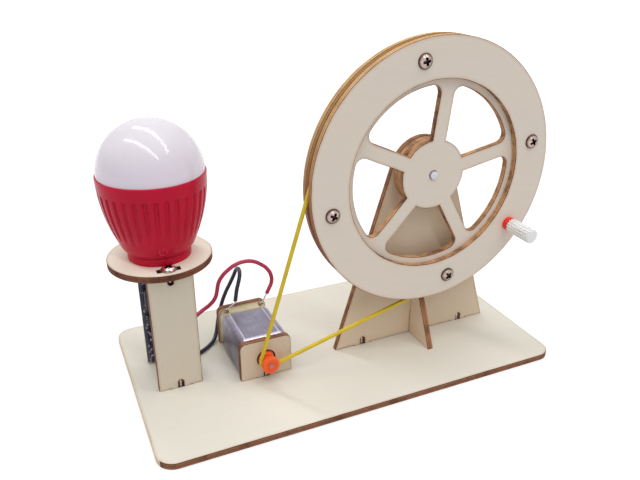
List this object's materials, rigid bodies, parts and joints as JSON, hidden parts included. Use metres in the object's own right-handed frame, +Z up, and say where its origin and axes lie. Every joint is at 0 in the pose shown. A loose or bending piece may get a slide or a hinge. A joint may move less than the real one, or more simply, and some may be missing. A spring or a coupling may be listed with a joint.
{
  "type": "hand crank generator",
  "caption": "Plywood hand crank generator kit: a spoked crank wheel turns a small motor by a rubber belt, and the motor lights a domed lamp on a post.",
  "frame": {"origin": "middle of the base board's underside", "axes": "+X along the board towards the crank wheel, +Y to the back, away from the crank, +Z up"},
  "size_m": [0.2108, 0.11, 0.1575],
  "materials": {
    "plywood": "matte",
    "screw_steel": "satin",
    "lamp_red": "gloss",
    "frosted_white": "satin",
    "white_board": "satin",
    "led_yellow": "gloss",
    "lead_red": "satin",
    "lead_black": "satin",
    "tinned_copper": "satin",
    "board_blue": "satin",
    "tape_white": "matte",
    "part_black": "satin",
    "can_silver": "satin",
    "motor_steel": "satin",
    "magnet_grey": "matte",
    "bronze": "satin",
    "cap_cream": "satin",
    "carbon": "matte",
    "copper": "satin",
    "belt_yellow": "matte",
    "pulley_orange": "gloss",
    "grip_white": "gloss",
    "collar_red": "gloss"
  },
  "bodies": {
    "base": {"base_plate": "plywood", "stand_main_plate": "plywood", "stand_cross_plate": "plywood", "post_front_plank": "plywood", "post_rear_plank": "plywood", "lamp_shelf": "plywood", "motor_front_plate": "plywood", "motor_rear_plate": "plywood", "base_screws": "screw_steel", "shelf_screws": "screw_steel", "lamp_housing": "lamp_red", "lamp_diffuser": "frosted_white", "led_board": "white_board", "led_chips": "led_yellow", "lamp_leads": "lead_red", "circuit_board": "board_blue", "board_tape": "tape_white", "board_chip": "part_black", "board_inductor": "part_black", "board_capacitor": "can_silver", "board_diodes": "part_black", "board_solder": "tinned_copper", "motor_can": "motor_steel", "motor_magnets": "magnet_grey", "motor_front_bush": "bronze", "motor_end_cap": "cap_cream", "motor_rear_bush": "bronze", "motor_brushes": "carbon", "motor_terminals": "bronze", "red_wire": "lead_red", "red_wire_tip": "tinned_copper", "black_wire": "lead_black", "black_wire_tip": "tinned_copper", "drive_belt": "belt_yellow"},
    "rotor": {"motor_shaft": "motor_steel", "motor_armature": "motor_steel", "motor_windings": "copper", "motor_commutator": "copper", "motor_pulley": "pulley_orange"},
    "wheel": {"wheel_front_ring": "plywood", "wheel_spoke_disc": "plywood", "wheel_rear_ring": "plywood", "rim_screws": "screw_steel", "hub_spacer_front": "plywood", "hub_spacer_rear": "plywood", "axle": "motor_steel", "axle_collar": "grip_white", "crank_pin": "motor_steel", "crank_collar": "collar_red"},
    "grip": {"crank_grip": "grip_white"}
  },
  "joints": [
    {"name": "wheel_spin", "type": "hinge", "parent": "base", "child": "wheel", "pos_m": [0.0442, 0, 0.094], "axis": [0, 1, 0], "continuous": true},
    {"name": "rotor_spin", "type": "hinge", "parent": "base", "child": "rotor", "pos_m": [-0.0399, 0, 0.013], "axis": [0, 1, 0], "continuous": true},
    {"name": "grip_spin", "type": "hinge", "parent": "wheel", "child": "grip", "pos_m": [0.08925, 0, 0.0628], "axis": [0, 1, 0], "continuous": true}
  ],
  "couplings": [
    {"joint": "rotor_spin", "follows": "wheel_spin", "ratio": 16.694}
  ]
}
